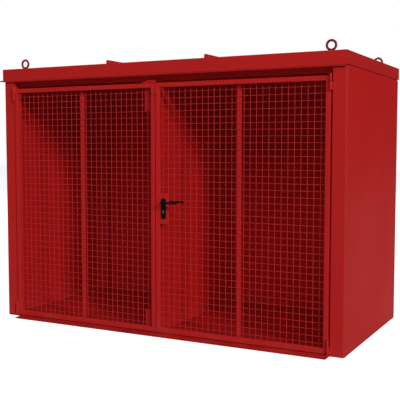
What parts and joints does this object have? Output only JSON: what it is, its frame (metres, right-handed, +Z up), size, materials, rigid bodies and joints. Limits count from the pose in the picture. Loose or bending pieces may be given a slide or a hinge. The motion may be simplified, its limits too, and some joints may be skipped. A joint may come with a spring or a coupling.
{
  "type": "gas cylinder container",
  "caption": "Low steel store for gas cylinders: flat roof with lifting eyes, closed sides and back, a partition inside and two wire mesh doors with a lever lock.",
  "frame": {"origin": "on the ground at the centre of the footprint", "axes": "+X to the right seen from the doors, +Y to the back, +Z up"},
  "size_m": [3.131, 1.599, 2.2663],
  "materials": {
    "body_paint": "satin",
    "roof_paint": "satin",
    "floor_paint": "satin",
    "eye_paint": "satin",
    "frame_paint": "satin",
    "mesh_paint": "satin",
    "handle_black": "matte",
    "cylinder_metal": "satin",
    "bolt_steel": "satin"
  },
  "bodies": {
    "container": {"front_posts": "body_paint", "rear_posts": "body_paint", "front_top_rail": "body_paint", "rear_top_rail": "body_paint", "side_top_rails": "body_paint", "door_header": "body_paint", "front_sill": "body_paint", "side_base_rails": "body_paint", "rear_base_rail": "body_paint", "floor_bearers": "body_paint", "floor_sheet": "floor_paint", "side_walls": "body_paint", "rear_wall": "body_paint", "rear_wall_strip": "body_paint", "partition": "body_paint", "roof_cover": "roof_paint", "roof_ribs": "body_paint", "lifting_eyes": "eye_paint", "drain_spout": "body_paint", "bolt_keeper": "body_paint", "post_hinge_knuckles": "body_paint"},
    "left_leaf": {"left_hinge_stile": "frame_paint", "left_meeting_stile": "frame_paint", "left_leaf_rails": "frame_paint", "left_mid_stile": "frame_paint", "left_mesh_uprights": "mesh_paint", "left_mesh_cross_wires": "mesh_paint", "left_hinge_knuckles": "frame_paint", "bolt_housings": "frame_paint", "left_leaf_lugs": "frame_paint"},
    "right_leaf": {"right_hinge_stile": "frame_paint", "right_meeting_stile": "frame_paint", "right_leaf_rails": "frame_paint", "right_mid_stile": "frame_paint", "right_mesh_uprights": "mesh_paint", "right_mesh_cross_wires": "mesh_paint", "right_hinge_knuckles": "frame_paint", "lock_case": "frame_paint", "handle_plates": "handle_black", "lock_cylinder": "cylinder_metal", "right_leaf_lugs": "frame_paint"},
    "lever_set": {"outer_lever": "handle_black", "inner_lever": "handle_black", "lever_spindle": "bolt_steel"},
    "top_shoot_bolt": {"top_bolt": "frame_paint"},
    "bottom_shoot_bolt": {"bottom_bolt": "frame_paint"}
  },
  "joints": [
    {"name": "left_leaf_hinge", "type": "hinge", "parent": "container", "child": "left_leaf", "pos_m": [-1.431, -0.762, 0], "axis": [0, 0, -1], "range_deg": [0, 170]},
    {"name": "right_leaf_hinge", "type": "hinge", "parent": "container", "child": "right_leaf", "pos_m": [1.431, -0.762, 0], "axis": [0, 0, 1], "range_deg": [0, 170]},
    {"name": "lever_turn", "type": "hinge", "parent": "right_leaf", "child": "lever_set", "pos_m": [0.073, -0.734, 1.062], "axis": [0, 1, 0], "range_deg": [0, 40], "stiffness_Nm_per_rad": 1.5, "springref_deg": -45.84},
    {"name": "top_bolt_slide", "type": "slide", "parent": "left_leaf", "child": "top_shoot_bolt", "axis": [0, 0, 1], "range_m": [0, 0.022]},
    {"name": "bottom_bolt_slide", "type": "slide", "parent": "left_leaf", "child": "bottom_shoot_bolt", "axis": [0, 0, -1], "range_m": [0, 0.014]}
  ]
}
